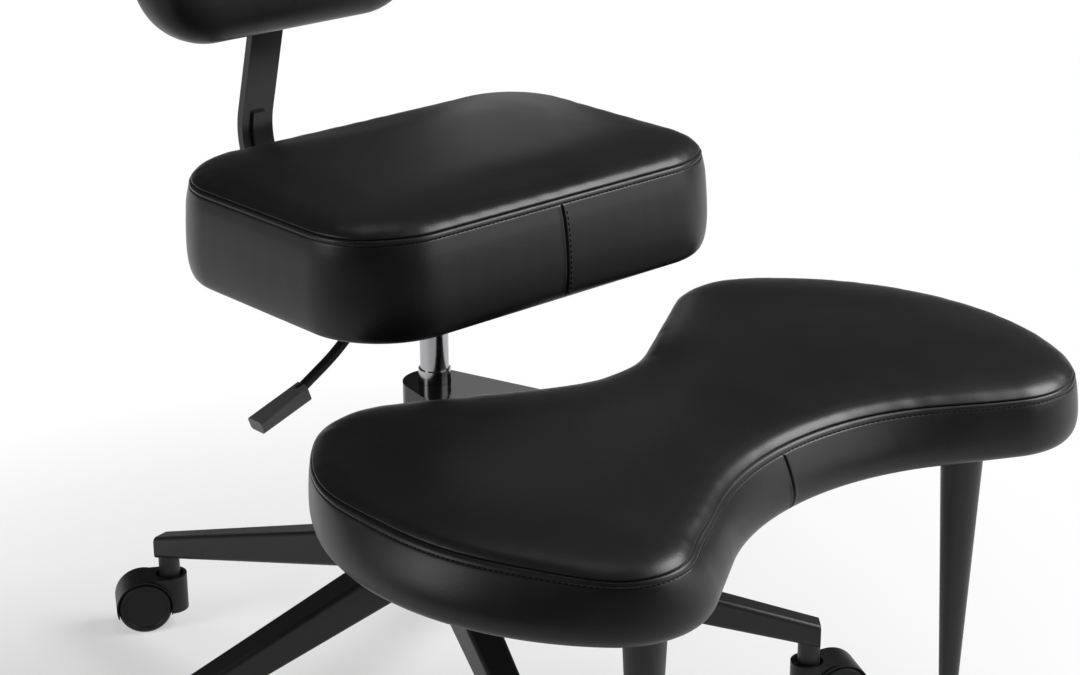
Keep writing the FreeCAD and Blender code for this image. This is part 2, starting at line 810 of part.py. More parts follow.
def backrest_loop(inset, y):
    def place(a, b):
        return vector(a, y, b)

    low = (-backrest_half_width + inset, backrest_low + inset)
    high = (backrest_half_width - inset, backrest_high - inset)
    return rounded_loop(low, high, backrest_corner_radius - inset, place)


def backrest_levels():
    # Distance in front of the mounting face and draw-in of each section.
    depth = backrest_depth
    return [(0.0, 9.0), (0.1 * depth, 2.5), (0.32 * depth, 0.0), (0.6 * depth, 2.0),
            (0.78 * depth, 8.0), (0.9 * depth, 18.0), (0.97 * depth, 32.0), (depth, 50.0)]


def build_backrest():
    face = upright_face()
    save("back_bar", back_bar())
    bolts = []
    for row in bar_bolt_rows:
        seat = plate_low - bar_wall
        bolts.append(screw(0, row, seat, bar_wall + plate_thickness - pad_fit))
    save("bar_bolts", *bolts)
    back_y = vector(0, -backrest_board_thickness, 0)
    board = Part.Face(backrest_loop(backrest_board_inset, face)).extrude(back_y)
    pad = Part.makeLoft([backrest_loop(inset, face - y) for y, inset in backrest_levels()], True, True)
    pocket_depth = vector(0, -backrest_board_thickness - 1 - pad_fit, 0)
    pocket = Part.Face(backrest_loop(backrest_board_inset - pad_fit, face + 1)).extrude(pocket_depth)
    screws = []
    for row in backrest_screw_rows:
        along = vector(0, -1, 0)
        seat = face + bar_wall
        reach = bar_wall + backrest_board_thickness - 2 * bolt_clear
        head = Part.makeCylinder(bolt_head_diameter / 2, bolt_head_height,
                                 vector(0, seat + bolt_head_height, row), along)
        shank = Part.makeCylinder(bolt_diameter / 2, reach + 1, vector(0, seat + 1, row), along)
        screws.append(head.fuse(shank).removeSplitter())
        room = Part.makeCylinder(bolt_diameter / 2 + bolt_clear, backrest_board_thickness + 1,
                                 vector(0, face + 1, row), along)
        board = board.cut(room)
    save("backrest_board", board)
    save("backrest_cushion", pad.cut(pocket))
    save("backrest_screws", *screws)


# Lever

def lever_rod():
    # A bent round bar in the XZ plane, with rounded bends, from over the pin to the grip.
    points = [vector(x, 0, z) for x, z in lever_points()]
    edges = []
    here = points[0]
    for before, corner, after in zip(points, points[1:], points[2:]):
        inward = (before - corner).normalize()
        onward = (after - corner).normalize()
        half = inward.getAngle(onward) / 2
        cut_back = min((before - corner).Length, (after - corner).Length) * 0.3
        radius = cut_back * math.tan(half)
        centre = corner + (inward + onward).normalize() * (radius / math.sin(half))
        middle = centre + (corner - centre).normalize() * radius
        first = corner + inward * cut_back
        last = corner + onward * cut_back
        edges.append(line_edge(here, first))
        edges.append(Part.Arc(first, middle, last).toShape())
        here = last
    edges.append(line_edge(here, points[-1]))
    path = Part.Wire(edges)
    axis = (points[1] - points[0]).normalize()
    section = Part.Wire(Part.makeCircle(lever_rod_diameter / 2, points[0], axis))
    return path.makePipeShell([section], True, False)


def build_lever():
    rod = lever_rod()
    pin_length = lever_slot + 2 * housing_wall
    start = vector(lever_pivot_x, -pin_length / 2, lever_pivot_z)
    pin = Part.makeCylinder(lever_pin_diameter / 2, pin_length, start, vector(0, 1, 0))
    bore = Part.makeCylinder(lever_pin_diameter / 2 + running_fit, pin_length, start, vector(0, 1, 0))
    save("lever_rod", rod.cut(bore))
    save("lever_pin", pin)

    grip_start = vector(lever_grip_start[0], 0, lever_grip_start[1])
    grip_end = vector(lever_grip_end[0], 0, lever_grip_end[1])
    along = (grip_end - grip_start).normalize()
    across = vector(0, 1, 0)
    upward = along.cross(across) * -1

    def section(centre, width, height):
        def place(a, b):
            return centre + across * a + upward * b
        return rounded_loop((-width / 2, -height / 2), (width / 2, height / 2), paddle_round, place)

    begin = section(grip_start, paddle_start_width, paddle_start_height)
    end = section(grip_end, paddle_end_width, paddle_end_height)
    paddle = Part.makeLoft([begin, end], True, True)
    save("lever_paddle", paddle.cut(rod))


os.makedirs("parts", exist_ok=True)
build_base()
build_column()
build_platform()
build_seat()
build_backrest()
build_lever()
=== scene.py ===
# %% [markdown]
# # A cross-legged office chair
# The chair is a padded seat and a small backrest on a gas column, with a rolling five-arm base and a
# bow-tie platform that swings round the column on its own bracket. The hard pieces arrive as a packed
# model, and this lesson gives them finishes, sews the three cushions and sets up the studio.

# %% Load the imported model
import json
import math
import random

import bmesh
import bpy
import numpy as np
from mathutils import Matrix, Vector, kdtree
from mathutils.bvhtree import BVHTree


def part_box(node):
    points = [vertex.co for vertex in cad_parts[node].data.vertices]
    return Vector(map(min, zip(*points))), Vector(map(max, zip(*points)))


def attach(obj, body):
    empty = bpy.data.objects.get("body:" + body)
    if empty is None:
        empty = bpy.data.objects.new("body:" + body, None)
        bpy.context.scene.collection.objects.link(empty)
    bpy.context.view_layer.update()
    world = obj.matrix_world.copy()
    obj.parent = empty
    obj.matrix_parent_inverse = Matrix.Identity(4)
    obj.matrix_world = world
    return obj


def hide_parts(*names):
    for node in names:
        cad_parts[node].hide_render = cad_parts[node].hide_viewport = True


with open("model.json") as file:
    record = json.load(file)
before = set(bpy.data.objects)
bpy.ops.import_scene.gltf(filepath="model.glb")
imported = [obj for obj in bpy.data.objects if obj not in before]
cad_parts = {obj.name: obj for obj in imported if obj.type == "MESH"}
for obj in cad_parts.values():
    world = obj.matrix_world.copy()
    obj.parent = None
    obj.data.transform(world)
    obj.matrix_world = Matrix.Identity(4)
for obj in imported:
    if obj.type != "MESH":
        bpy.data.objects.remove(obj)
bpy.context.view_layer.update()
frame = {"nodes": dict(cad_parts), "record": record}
MM = 0.001

# %% [markdown]
# ## Shader sums as plain expressions
# A finish is a small graph of nodes. Writing it as sums keeps it readable, so a thin class wraps a
# socket and each operator on it adds one Math node. Every other node comes from one method, which
# first applies the node's settings and then fills or links its sockets.

# %% A socket that takes part in sums
class Signal:
    def __init__(self, finish, socket):
        self.finish = finish
        self.socket = socket

    def sum(self, operation, other):
        return self.finish.add("ShaderNodeMath", {"operation": operation}, {0: self, 1: other})

    def __add__(self, other):
        return self.sum("ADD", other)

    def __mul__(self, other):
        return self.sum("MULTIPLY", other)


class Finish:
    def __init__(self, name, **constants):
        self.material = bpy.data.materials.new(name)
        self.material.use_nodes = True
        self.tree = self.material.node_tree
        self.tree.nodes.clear()
        self.output = self.tree.nodes.new("ShaderNodeOutputMaterial")
        self.shader = self.tree.nodes.new("ShaderNodeBsdfPrincipled")
        self.tree.links.new(self.shader.outputs[0], self.output.inputs["Surface"])
        self.set(**constants)

    def add(self, kind, settings=None, sockets=None, output=0):
        node = self.tree.nodes.new(kind)
        for key, value in (settings or {}).items():
            setattr(node, key, value)
        for key, value in (sockets or {}).items():
            self.fill(node.inputs[key], value)
        return Signal(self, node.outputs[output])

    def fill(self, socket, value):
        if isinstance(value, Signal):
            self.tree.links.new(value.socket, socket)
        elif socket.type == "RGBA" and len(value) == 3:
            socket.default_value = (*value, 1.0)
        else:
            socket.default_value = value

    def set(self, **values):
        # base_color stands for the shader's socket "Base Color", and so on.
        for name, value in values.items():
            self.fill(self.shader.inputs[name.replace("_", " ").title().replace("Ior", "IOR")], value)

    def place(self):
        return self.add("ShaderNodeTexCoord", output="Object")

    def noise(self, scale, detail):
        sockets = {"Vector": self.place(), "Scale": scale, "Detail": detail}
        return self.add("ShaderNodeTexNoise", {}, sockets)

    def cells(self, scale):
        return self.add("ShaderNodeTexVoronoi", {}, {"Vector": self.place(), "Scale": scale})

    def fade(self, signal, low, high, start, end):
        return self.add("ShaderNodeMapRange", {}, {0: signal, 1: low, 2: high, 3: start, 4: end})

    def blend(self, factor, first, second):
        # In a Mix node the colours are sockets 6 and 7, and the mixed colour is output 2.
        sockets = {0: factor, 6: first, 7: second}
        return self.add("ShaderNodeMix", {"data_type": "RGBA"}, sockets, output=2)

    def bump(self, height, strength, distance):
        sockets = {"Height": height, "Strength": strength, "Distance": distance}
        self.set(normal=self.add("ShaderNodeBump", {}, sockets))


print("shader helpers ready")

# %% [markdown]
# ## Finishes
# The upholstery is a smooth black coated leather: almost black, with a fine pebble that only shows
# where light grazes it, and a broad soft sheen. Steel is powder coated, with a faint orange peel. The
# swivel bracket is glossier, the gas cylinder is chrome, and the casters are moulded plastic.

# %% Upholstery
def black_leather():
    skin = Finish("black_leather", specular_ior_level=0.3)
    pebble = skin.cells(620.0)
    fine = skin.noise(1500.0, 2.0)
    broad = skin.noise(9.0, 3.0)
    tint = skin.fade(broad, 0.3, 0.7, 0.0, 1.0)
    skin.set(base_color=skin.blend(tint, (0.0075, 0.0075, 0.0078), (0.0105, 0.0105, 0.0108)))
    skin.set(roughness=skin.fade(broad * 0.7 + fine * 0.3, 0.3, 0.7, 0.32, 0.41))
    skin.bump(pebble * 0.7 + fine * 0.3, 0.16, 0.0004)
    return skin.material


def sewing_thread():
    thread = Finish("sewing_thread", specular_ior_level=0.1)
    twist = thread.add("ShaderNodeTexWave", {"wave_type": "BANDS"},
                       {"Vector": thread.place(), "Scale": 900.0, "Distortion": 2.0})
    thread.set(base_color=thread.blend(twist, (0.003, 0.003, 0.003), (0.008, 0.008, 0.008)))
    thread.set(roughness=thread.fade(twist, 0.0, 1.0, 0.75, 0.9))
    thread.bump(twist, 0.4, 0.0002)
    return thread.material


def lining_cloth():
    cloth = Finish("lining_cloth", specular_ior_level=0.2)
    weave = cloth.cells(900.0)
    patch = cloth.noise(14.0, 3.0)
    cloth.set(base_color=cloth.blend(patch, (0.012, 0.012, 0.012), (0.026, 0.026, 0.026)))
    cloth.set(roughness=cloth.fade(weave, 0.0, 1.0, 0.75, 0.95))
    cloth.bump(weave, 0.5, 0.0005)
    return cloth.material


# %% Metals
def powder_coat():
    coat = Finish("powder_coat", specular_ior_level=0.4)
    peel = coat.noise(420.0, 2.0)
    drift = coat.noise(6.0, 3.0)
    coat.set(base_color=coat.blend(drift, (0.010, 0.010, 0.0102), (0.016, 0.016, 0.0162)))
    coat.set(roughness=coat.fade(peel * 0.5 + drift * 0.5, 0.3, 0.7, 0.36, 0.5))
    coat.bump(peel, 0.12, 0.0005)
    return coat.material


def gloss_paint():
    paint = Finish("gloss_paint", specular_ior_level=0.2)
    peel = paint.noise(160.0, 2.0)
    drift = paint.noise(7.0, 3.0)
    paint.set(base_color=paint.blend(drift, (0.010, 0.010, 0.010), (0.015, 0.015, 0.015)))
    paint.set(roughness=paint.fade(drift, 0.3, 0.7, 0.09, 0.15))
    paint.bump(peel, 0.06, 0.0008)
    return paint.material


def polished_chrome():
    chrome = Finish("polished_chrome", metallic=1.0)
    smear = chrome.noise(24.0, 4.0)
    hair = chrome.noise(300.0, 2.0)
    chrome.set(base_color=chrome.blend(smear, (0.34, 0.34, 0.35), (0.46, 0.46, 0.47)))
    chrome.set(roughness=chrome.fade(smear * 0.7 + hair * 0.3, 0.3, 0.7, 0.14, 0.26))
    return chrome.material


def zinc_plate():
    zinc = Finish("zinc_plate", metallic=1.0)
    patch = zinc.noise(60.0, 4.0)
    zinc.set(base_color=zinc.blend(patch, (0.36, 0.36, 0.37), (0.52, 0.52, 0.52)))
    zinc.set(roughness=zinc.fade(patch, 0.3, 0.7, 0.28, 0.5))
    zinc.bump(patch, 0.1, 0.0004)
    return zinc.material


# %% Plastics
def moulded_black(name, dark, light, dull):
    plastic = Finish(name, specular_ior_level=0.3)
    grain = plastic.noise(1100.0, 2.0)
    drift = plastic.noise(16.0, 3.0)
    plastic.set(base_color=plastic.blend(drift, (dark,) * 3, (light,) * 3))
    plastic.set(roughness=plastic.fade(drift * 0.6 + grain * 0.4, 0.3, 0.7, dull - 0.07, dull + 0.07))
    plastic.bump(grain, 0.2, 0.0003)
    return plastic.material


def bearing_plastic():
    plastic = Finish("bearing_plastic")
    drift = plastic.noise(30.0, 3.0)
    plastic.set(base_color=plastic.blend(drift, (0.62, 0.61, 0.57), (0.74, 0.73, 0.69)))
    plastic.set(roughness=plastic.fade(drift, 0.3, 0.7, 0.45, 0.6))
    return plastic.material


finishes = {
    "black_leather": black_leather(),
    "satin_black_steel": powder_coat(),
    "gloss_black_steel": gloss_paint(),
    "chrome": polished_chrome(),
    "steel": zinc_plate(),
    "bearing_plastic": bearing_plastic(),
    "board": lining_cloth(),
    "black_plastic": moulded_black("hood_plastic", 0.006, 0.010, 0.42),
    "wheel_plastic": moulded_black("wheel_plastic", 0.004, 0.007, 0.5),
    "bar_paint": moulded_black("bar_paint", 0.014, 0.020, 0.22),
    "grip_plastic": moulded_black("grip_plastic", 0.11, 0.14, 0.42),
}
thread = sewing_thread()
print("finishes", len(finishes) + 1)

# %% Give each hard piece its finish
slot_of = {row["node"]: row["material_slot"] for row in frame["record"]["subparts"]}
slot_of.update(lever_paddle="grip_plastic", back_bar="bar_paint")
for name, piece in frame["nodes"].items():
    piece.data.materials.clear()
    piece.data.materials.append(finishes[slot_of[name]])
print("hard pieces dressed", len(slot_of))

# %% [markdown]
# ## Outlines for the cushions
# Each cushion is a boxed cushion: a top panel and a side band, sewn along a seam. Its outline is a
# loop of straight runs and arcs. Drawing the loop once, with the outward direction kept at every
# point, lets each later ring be the same loop drawn in by some distance.

# %% Loop helpers
def arc_run(centre, radius, start, end, count, sign=1.0):
    angles = np.radians(np.linspace(start, end, count))
    outward = np.stack([np.cos(angles), np.sin(angles)], 1)
    return np.array(centre) + radius * outward, sign * outward


def straight_run(begin, finish, outward, places):
    begin, finish = np.array(begin), np.array(finish)
    points = begin + (finish - begin) * np.array(places)[:, None]
    return points, np.repeat(np.array([outward]), len(points), 0)


def join_runs(runs):
    points = np.vstack([run[0] for run in runs])
    outward = np.vstack([run[1] for run in runs])
    fresh = np.linalg.norm(points - np.roll(points, 1, 0), axis=1) > 0.05
    return points[fresh], outward[fresh]


def even(count):
    return np.linspace(0, 1, count)


OUTLINE_STEP = 5.0
JOINT_PLACES = [0.5, 1.0, 1.6, 2.4, 3.2, 4.0, 4.8, 6.0, 8.0, 11.0]
JOINT_REACH = 12.0


def with_seam(length, seam_at):
    # Even places along a straight run, with close ones on both sides of a sewn joint.
    places = list(np.arange(0, length, OUTLINE_STEP)) + [length, seam_at]
    places = [p for p in places if abs(p - seam_at) > JOINT_REACH or p == seam_at or p in (0, length)]
    places += [seam_at + d for d in JOINT_PLACES] + [seam_at - d for d in JOINT_PLACES]
    return np.array(sorted(p for p in places if 0 <= p <= length)) / length


# %% The seat's outline
SEAT_HALF, SEAT_FRONT, SEAT_BACK, SEAT_CORNER = 228.0, -192.0, 134.0, 86.0


def seat_outline():
    right, left = SEAT_HALF - SEAT_CORNER, -SEAT_HALF + SEAT_CORNER
    near, far = SEAT_FRONT + SEAT_CORNER, SEAT_BACK - SEAT_CORNER
    corner = 28
    runs = [
        straight_run((left, SEAT_FRONT), (right, SEAT_FRONT), (0, -1), with_seam(right - left, -left)),
        arc_run((right, near), SEAT_CORNER, -90, 0, corner),
        straight_run((SEAT_HALF, near), (SEAT_HALF, far), (1, 0), even(32)),
        arc_run((right, far), SEAT_CORNER, 0, 90, corner),
        straight_run((right, SEAT_BACK), (left, SEAT_BACK), (0, 1), even(60)),
        arc_run((left, far), SEAT_CORNER, 90, 180, corner),
        straight_run((-SEAT_HALF, far), (-SEAT_HALF, near), (-1, 0), even(32)),
        arc_run((left, near), SEAT_CORNER, 180, 270, corner),
    ]
    return join_runs(runs)


print("seat outline points", len(seat_outline()[0]))

# %% The platform's outline
PLATFORM_TURN = math.radians(3.5)
LOBE_END, LOBE_FRONT, LOBE_BACK, LOBE_MIDDLE = 375.0, -550.0, -131.0, -350.0
END_RADIUS, LOBE_CORNER = 260.0, 84.0
WAIST_FRONT, WAIST_FRONT_SHARE = -462.0, 0.9
WAIST_BACK, WAIST_BACK_SHARE = -232.0, 0.56
WAIST_SEAM = -20.0


def waist_arc(depth, corner, side, share):
    # Centre and radius of a waist's arc, and the angle at which it leaves for the corner.
    rise = side * (corner[1] - depth)
    reach = corner[0] ** 2 + rise ** 2 - LOBE_CORNER ** 2
    radius = share * reach / (2 * (LOBE_CORNER + rise))
    x, y = corner[0], corner[1] - depth - side * radius
    span = math.acos((radius + LOBE_CORNER) / math.hypot(x, y))
    return (0, depth + side * radius), radius, math.degrees(math.atan2(y, x) - side * span)


def waist_with_seam(centre, radius, half, seam_x):
    # The front waist is an arc, so the sewn joint's close places are angles on it.
    seam = 90 - math.degrees(math.asin(seam_x / radius))
    close = np.array([0.0] + JOINT_PLACES)
    close = np.degrees(np.concatenate([-close, close]) / radius)
    clear = 2.6
    angles = [a for a in np.linspace(90 + half, 90 - half, 80) if abs(a - seam) > clear]
    angles = np.radians(sorted(set(angles) | set(seam + close), reverse=True))
    outward = np.stack([np.cos(angles), np.sin(angles)], 1)
    return np.array(centre) + radius * outward, -outward


def bearing(start, finish):
    return math.degrees(math.atan2(finish[1] - start[1], finish[0] - start[0]))


def platform_outline():
    end = (LOBE_END - END_RADIUS, LOBE_MIDDLE)
    reach = END_RADIUS - LOBE_CORNER
    front, back = [(end[0] + math.sqrt(reach ** 2 - (y - LOBE_MIDDLE) ** 2), y)
                   for y in (LOBE_FRONT + LOBE_CORNER, LOBE_BACK - LOBE_CORNER)]
    front_waist, front_radius, near = waist_arc(WAIST_FRONT, front, -1, WAIST_FRONT_SHARE)
    back_waist, back_radius, far = waist_arc(WAIST_BACK, back, 1, WAIST_BACK_SHARE)

    def flip(run):
        return (run[0] * [-1, 1])[::-1], (run[1] * [-1, 1])[::-1]

    def between(first, second):
        count = int(np.linalg.norm(second[0][0] - first[0][-1]) // OUTLINE_STEP) + 2
        return straight_run(first[0][-1], second[0][0], first[1][-1], even(count))

    front_run = waist_with_seam(front_waist, front_radius, 90 - near, WAIST_SEAM)
    front_corner = arc_run(front, LOBE_CORNER, near - 180, bearing(end, front), 36)
    lobe_end = arc_run(end, END_RADIUS, bearing(end, front), bearing(end, back), 70)
    back_corner = arc_run(back, LOBE_CORNER, bearing(end, back), far + 180, 36)
    back_run = arc_run(back_waist, back_radius, far, -180 - far, 50, -1.0)
    half = [between(front_run, front_corner), front_corner, lobe_end, back_corner]
    half.append(between(back_corner, back_run))
    return join_runs([front_run] + half + [back_run] + [flip(run) for run in reversed(half)])


print("platform outline points", len(platform_outline()[0]))

# %% The backrest's outline
BACK_HALF, BACK_LOW, BACK_HIGH, BACK_CORNER = 168.0, 682.0, 853.0, 78.0


def backrest_outline():
    right, left = BACK_HALF - BACK_CORNER, -BACK_HALF + BACK_CORNER
    low, high = BACK_LOW + BACK_CORNER, BACK_HIGH - BACK_CORNER
    runs = [
        straight_run((left, BACK_LOW), (right, BACK_LOW), (0, -1), even(40)),
        arc_run((right, low), BACK_CORNER, -90, 0, 28),
        arc_run((right, high), BACK_CORNER, 0, 90, 28),
        straight_run((right, BACK_HIGH), (left, BACK_HIGH), (0, 1), even(40)),
        arc_run((left, high), BACK_CORNER, 90, 180, 28),
        arc_run((left, low), BACK_CORNER, 180, 270, 28),
    ]
    return join_runs(runs)


print("backrest outline points", len(backrest_outline()[0]))

# %% [markdown]
# ## Sewing a boxed cushion
# A real boxed cushion is a foam block in a cover of two panels and a band. Here rings of the outline
# are stacked from the recess for the board, round the lower edge, up the band, over the seam and
# across the crown to a line along the middle. Close rings at the seam give the pressed groove and
# the raised strip of a topstitched seam, which a plain subdivided block would lose.

# %% A ring of the outline at some height
class Cushion:
    def __init__(self, name, outline, spine, seed):
        self.name = name
        self.outline, self.outward = outline
        self.spine = spine
        step = np.linalg.norm(np.roll(self.outline, -1, 0) - self.outline, axis=1)
        self.along = np.concatenate([[0], np.cumsum(step)[:-1]])
        self.length = step.sum()
        chance = random.Random(seed)
        # Puckers between 22 and 70 mm long, from nine waves round the loop.
        few, many = int(self.length / 70), int(self.length / 22)
        waves = [(chance.randint(few, many), chance.uniform(0, math.tau), chance.uniform(0.4, 1.0))
                 for _ in range(9)]
        turn = math.tau * self.along / self.length
        self.pucker = sum(size * np.sin(count * turn + start) for count, start, size in waves) / 3.0
        self.rings = []

    def ring(self, inset, height, relief=0.0):
        inset = np.broadcast_to(inset + relief, (len(self.outline),))
        drawn = self.outline - self.outward * inset[:, None]
        self.rings.append(np.column_stack([drawn, np.full(len(drawn), height)]))
        return self.rings[-1]

    def towards_spine(self, ring, share, height):
        # Slides a ring towards the cushion's middle line, which closes a panel.
        middle = ring.copy()
        middle[:, 0] = np.clip(ring[:, 0], self.spine[0][0], self.spine[0][1])
        middle[:, 1] = self.spine[1]
        moved = ring + (middle - ring) * share
        moved[:, 2] = height(np.linalg.norm((moved - ring)[:, :2], axis=1))
        self.rings.append(moved)


def closed_mesh(cushion, place):
    # Quads between neighbouring rings; the first and last rings lie on the middle line.
    count = len(cushion.outline)
    book = bmesh.new()
    rows = [[book.verts.new(point) for point in place(ring)] for ring in cushion.rings]
    for lower, upper in zip(rows, rows[1:]):
        for i in range(count):
            j = (i + 1) % count
            book.faces.new((lower[i], lower[j], upper[j], upper[i]))
    bmesh.ops.remove_doubles(book, verts=rows[0] + rows[-1], dist=0.0004)
    bmesh.ops.dissolve_degenerate(book, edges=book.edges, dist=0.00004)
    bmesh.ops.recalc_face_normals(book, faces=book.faces)
    mesh = bpy.data.meshes.new(cushion.name)
    book.to_mesh(mesh)
    book.free()
    mesh.shade_smooth()
    piece = bpy.data.objects.new(cushion.name, mesh)
    bpy.context.scene.collection.objects.link(piece)
    return piece


print("cushion tools ready")

# %% The section of a boxed cushion
# Shares of the band's height with the inset there, then drops from the seam with the press there.
LOWER_ROLL = [(0.0, 15.0), (0.008, 12.2), (0.022, 9.4), (0.045, 6.9), (0.08, 4.8), (0.12, 3.1),
              (0.17, 1.8), (0.23, 0.9), (0.3, 0.3), (0.38, 0.0), (0.47, 0.0), (0.56, 0.2),
              (0.64, 0.45), (0.7, 0.7)]
SEAM_SECTION = [(-20.0, 0.0), (-16.0, 0.0), (-12.5, 0.0), (-9.5, 0.0), (-7.4, -0.1), (-6.2, -0.1),
                (-5.6, 0.0), (-5.25, 0.2), (-5.0, 0.6), (-4.75, 0.2), (-4.4, -0.1), (-3.8, -0.4),
                (-3.0, -0.6), (-2.1, -0.6), (-1.4, -0.4), (-0.9, -0.1), (-0.55, 0.3), (-0.3, 2.4),
                (0.2, 2.4), (0.4, 0.6)]
LOWER_ROLL_INSET = LOWER_ROLL[0][1]
LOWER_ROLL_END, FLAT_INSET = LOWER_ROLL[-1]
STITCH_DROP = 5.0
BOARD_GAP = 0.3
BAND_PUCKER, SEAM_PUCKER, CROWN_PUCKER = 0.075, 0.16, 0.3
CROWN_LIP, DOME_REACH = 0.6, 100.0
CROWN_GAPS = (0.5, 1.3, 2.6, 4.4, 6.8, 9.8, 13.5, 18.0, 23.5, 30.0, 38.0, 47.0, 57.0)
LEAN_FADE = 65.0


def band_joint(cushion, centre):
    # The pressed groove and raised lips of an upright sewn joint in the band.
    gap = np.abs((cushion.along - centre + cushion.length / 2) % cushion.length - cushion.length / 2)
    return 1.9 * np.exp(-(gap / 0.9) ** 2) - 0.45 * np.exp(-((gap - 2.6) / 1.5) ** 2)


def box_section(cushion, bottom, band, board, rise, roll, dome, seam_inset, lower, joint, lean):
    # rise and roll shape the crown's edge, and dome its middle. lower is how far the lower edge rolls
    # in. joint is the relief of the upright joint, and lean draws the top of the band inwards.
    def leaning(share):
        return lean * np.clip((share - 0.25) / 0.75, 0, 1) ** 1.5

    board_inset, board_depth = board
    wall = board_inset - BOARD_GAP
    top = bottom + board_depth + BOARD_GAP
    ceiling = cushion.outline - cushion.outward * wall
    ceiling = np.column_stack([ceiling, np.full(len(ceiling), top)])
    for share in (1.0, 0.66, 0.33):
        cushion.towards_spine(ceiling, share, lambda gap: top)
    for height in (top, bottom + board_depth * 0.5, bottom):
        cushion.ring(wall, height)
    cushion.ring((wall + lower) / 2, bottom)
    seam = bottom + band
    for share, inset in LOWER_ROLL:
        sewn = joint * np.clip((share - 0.02) / 0.1, 0, 1)
        soft = math.exp(-((share - 0.5) / 0.3) ** 2)
        inset = inset * lower / LOWER_ROLL_INSET + sewn + leaning(share)
        cushion.ring(inset, bottom + share * band, BAND_PUCKER * soft * cushion.pucker)
    flat = FLAT_INSET * lower / LOWER_ROLL_INSET
    for drop, press in SEAM_SECTION:
        # The rings of a low band start above the end of its lower roll.
        climb = 1 + drop / ((1 - LOWER_ROLL_END) * band)
        if climb < 0.05:
            continue
        inset = flat + (seam_inset - flat) * climb ** 1.9 + press + leaning(1 + drop / band)
        sewn = joint if drop < -STITCH_DROP - 0.8 else 0.0
        soft = math.exp(-abs(drop) / 9.0)
        cushion.ring(inset + sewn, seam + drop, SEAM_PUCKER * soft * cushion.pucker)

    def crown(gap):
        inner = np.clip(gap / DOME_REACH, 0, 1)
        return seam + CROWN_LIP + rise * (1 - np.exp(-gap / roll)) + dome * (1 - (1 - inner) ** 2)

    for gap in CROWN_GAPS:
        soft = math.exp(-((gap - 7.0) / 9.0) ** 2)
        ring = cushion.ring(seam_inset + lean * (1 - gap / LEAN_FADE) + gap, crown(gap))
        ring[:, 2] -= CROWN_PUCKER * soft * cushion.pucker
    for share in (0.14, 0.28, 0.43, 0.58, 0.72, 0.86, 1.0):
        cushion.towards_spine(ring, share, lambda more: crown(CROWN_GAPS[-1] + more))


# %% [markdown]
# ## Filling the cushions
# The stacked rings give a cover with no filling in it. A copy is remeshed evenly and blown up a
# little as cloth, with the seam and the underside held, so that the panels swell between their seams
# as foam makes them. The swelling is then read back onto the fine mesh, which keeps its seams.

# %% Swell a cover like cloth
VOXEL, PRESSURE, FRAMES = 0.007, 4.0, 16
NEIGHBOURS, BLEND_REACH = 40, 0.018


def swell(piece, held, limit):
    # held marks the points that stay, and limit is the most that any other point moves.
    scene = bpy.context.scene
    proxy = piece.copy()
    proxy.data = piece.data.copy()
    scene.collection.objects.link(proxy)
    remesh = proxy.modifiers.new("even", "REMESH")
    remesh.mode = "VOXEL"
    remesh.voxel_size = VOXEL
    evened = proxy.evaluated_get(bpy.context.evaluated_depsgraph_get())
    even_mesh = bpy.data.meshes.new_from_object(evened)
    proxy.modifiers.clear()
    proxy.data = even_mesh
    before = np.array([v.co for v in even_mesh.vertices])
    pins = proxy.vertex_groups.new(name="held")
    pins.add([int(i) for i in np.nonzero(held(before))[0]], 1.0, "REPLACE")
    cloth = proxy.modifiers.new("cover", "CLOTH")
    cloth.settings.vertex_group_mass = "held"
    cloth.settings.use_pressure = True
    cloth.settings.uniform_pressure_force = PRESSURE
    cloth.settings.effector_weights.gravity = 0.0
    cloth.settings.tension_stiffness = 40.0
    cloth.settings.compression_stiffness = 10.0
    cloth.settings.bending_stiffness = 20.0
    cloth.point_cache.frame_end = FRAMES
    for number in range(1, FRAMES + 1):
        scene.frame_set(number)
    blown = proxy.evaluated_get(bpy.context.evaluated_depsgraph_get()).to_mesh()
    shift = np.array([v.co for v in blown.vertices]) - before
    scene.frame_set(1)
    size = np.linalg.norm(shift, axis=1)
    shift *= (limit * np.tanh(size / limit) / np.maximum(size, 1e-9))[:, None]
    tree = kdtree.KDTree(len(before))
    for index, point in enumerate(before):
        tree.insert(point, index)
    tree.balance()
    still = held(np.array([v.co for v in piece.data.vertices]))
    for vertex, fixed in zip(piece.data.vertices, still):
        if fixed:
            continue
        near = tree.find_n(vertex.co, NEIGHBOURS)
        weights = np.array([math.exp(-(gap / BLEND_REACH) ** 2) for _, _, gap in near])
        move = (shift[[index for _, index, _ in near]] * weights[:, None]).sum(0) / weights.sum()
        vertex.co += Vector(move)
    bpy.data.objects.remove(proxy)
    return float(size.max())


def near_levels(levels, reach, axis=2):
    # Marks the points that lie near any of the held levels.
    def held(points):
        marks = np.zeros(len(points), bool)
        for level in levels:
            marks |= np.abs(points[:, axis] - level) < reach
        return marks
    return held


def seam_and_foot(bottom, band):
    # The stitched strip just under the seam, and the foot of the band.
    seam, foot = (bottom + band) * MM, bottom * MM
    return near_levels([seam - 0.002, foot, foot + 0.012], 0.009)


print("swelling ready")

# %% [markdown]
# ## Stitches
# Topstitching is a row of short threads pressed into the leather. Each is a small capsule, laid along
# its row at an even pitch, so that it catches light and casts a shadow as thread does.

# %% Rows of stitches
STITCH_LENGTH, STITCH_RADIUS, STITCH_PITCH = 0.0032, 0.00055, 5.0


